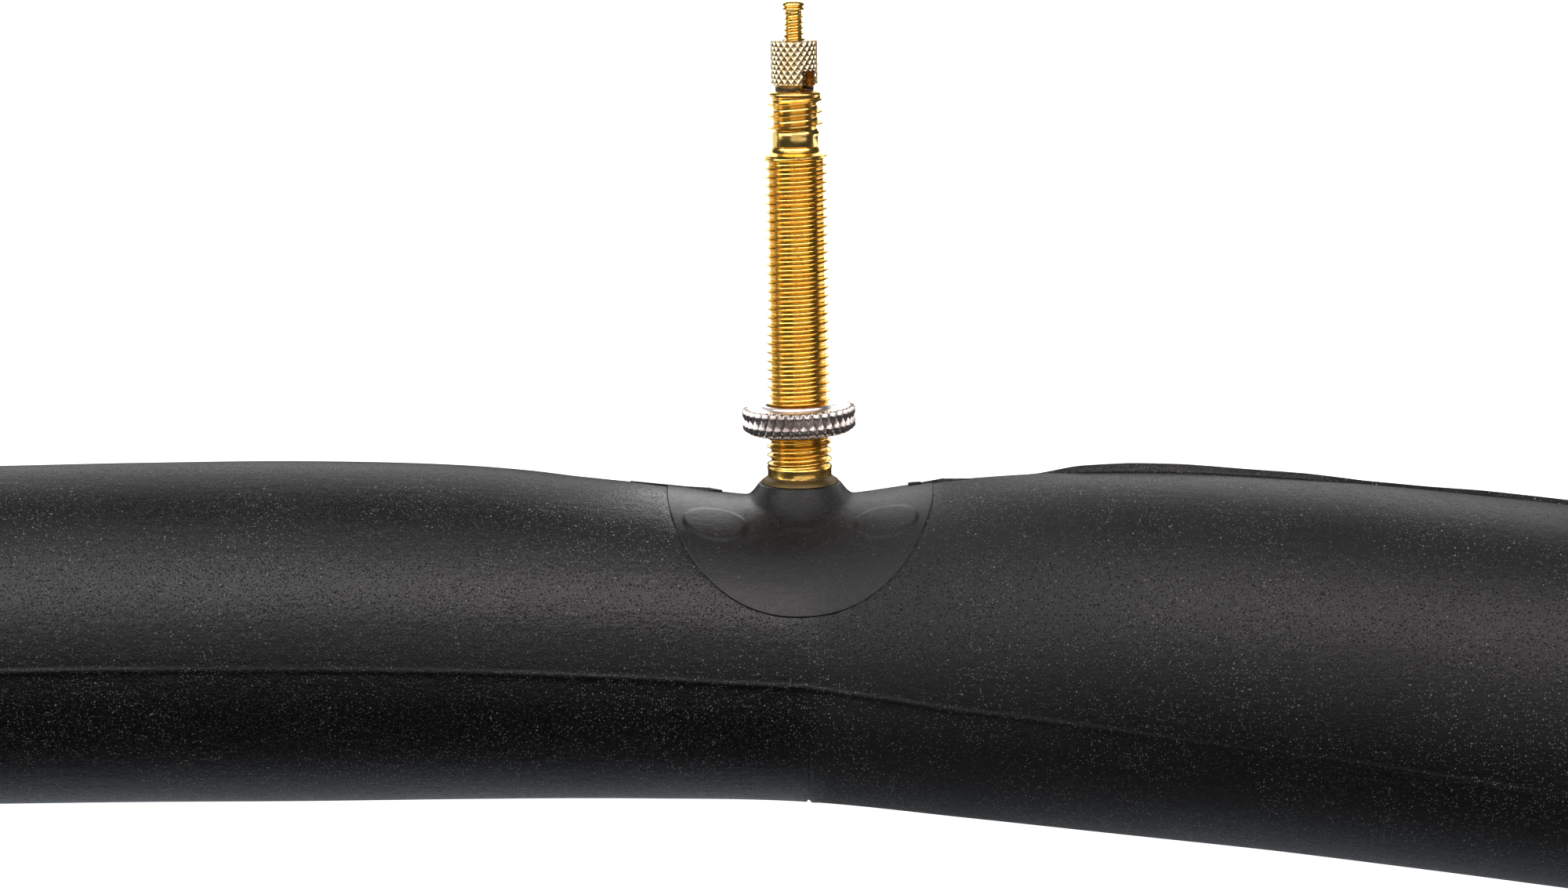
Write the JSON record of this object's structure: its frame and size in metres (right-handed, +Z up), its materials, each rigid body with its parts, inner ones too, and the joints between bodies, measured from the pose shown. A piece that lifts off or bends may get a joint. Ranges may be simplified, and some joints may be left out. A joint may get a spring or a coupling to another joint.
{
  "type": "bicycle inner tube",
  "caption": "Lightly inflated bicycle inner tube, a closed rubber ring with a long threaded narrow valve, a loose rim nut and a removable valve core.",
  "frame": {"origin": "on the valve's axis, where the stem leaves the rubber pad", "axes": "+Y along the valve towards its tip and the inside of the ring, +X along the tube past the valve, +Z up from the surface that the ring lies flat on"},
  "size_m": [0.6199, 0.536, 0.035],
  "materials": {
    "tube_rubber": "satin butyl, dusted with talc",
    "pad_rubber": "smoother moulded rubber",
    "stem_brass": "rolled thread, lightly tarnished",
    "core_brass": "bright turned",
    "nut_brass": "pale, diamond knurled",
    "nickel": "nickel plated, diamond knurled",
    "seal_rubber": "matt"
  },
  "bodies": {
    "tube": {"tube_body": "tube_rubber", "valve_pad": "pad_rubber", "valve_stem": "stem_brass", "core_body": "core_brass", "core_gasket": "seal_rubber"},
    "rim_nut": {"rim_nut": "nickel"},
    "core_nut": {"core_nut": "nut_brass"},
    "pin": {"core_pin": "core_brass", "pin_seal": "seal_rubber", "pin_cup": "core_brass"}
  },
  "joints": [
    {"name": "rim_nut_travel", "type": "slide", "parent": "tube", "child": "rim_nut", "axis": [0, 1, 0], "range_m": [-0.0032, 0.0215]},
    {"name": "core_nut_turn", "type": "hinge", "parent": "tube", "child": "core_nut", "pos_m": [0, 0.0371, 0], "axis": [0, 1, 0], "range_deg": [0, 1800]},
    {"name": "pin_press", "type": "slide", "parent": "tube", "child": "pin", "axis": [0, 1, 0], "range_m": [-0.0025, 0]}
  ],
  "couplings": [
    {"joint": "core_nut_turn", "follows": "pin_press", "rad_per_m": -12566}
  ]
}
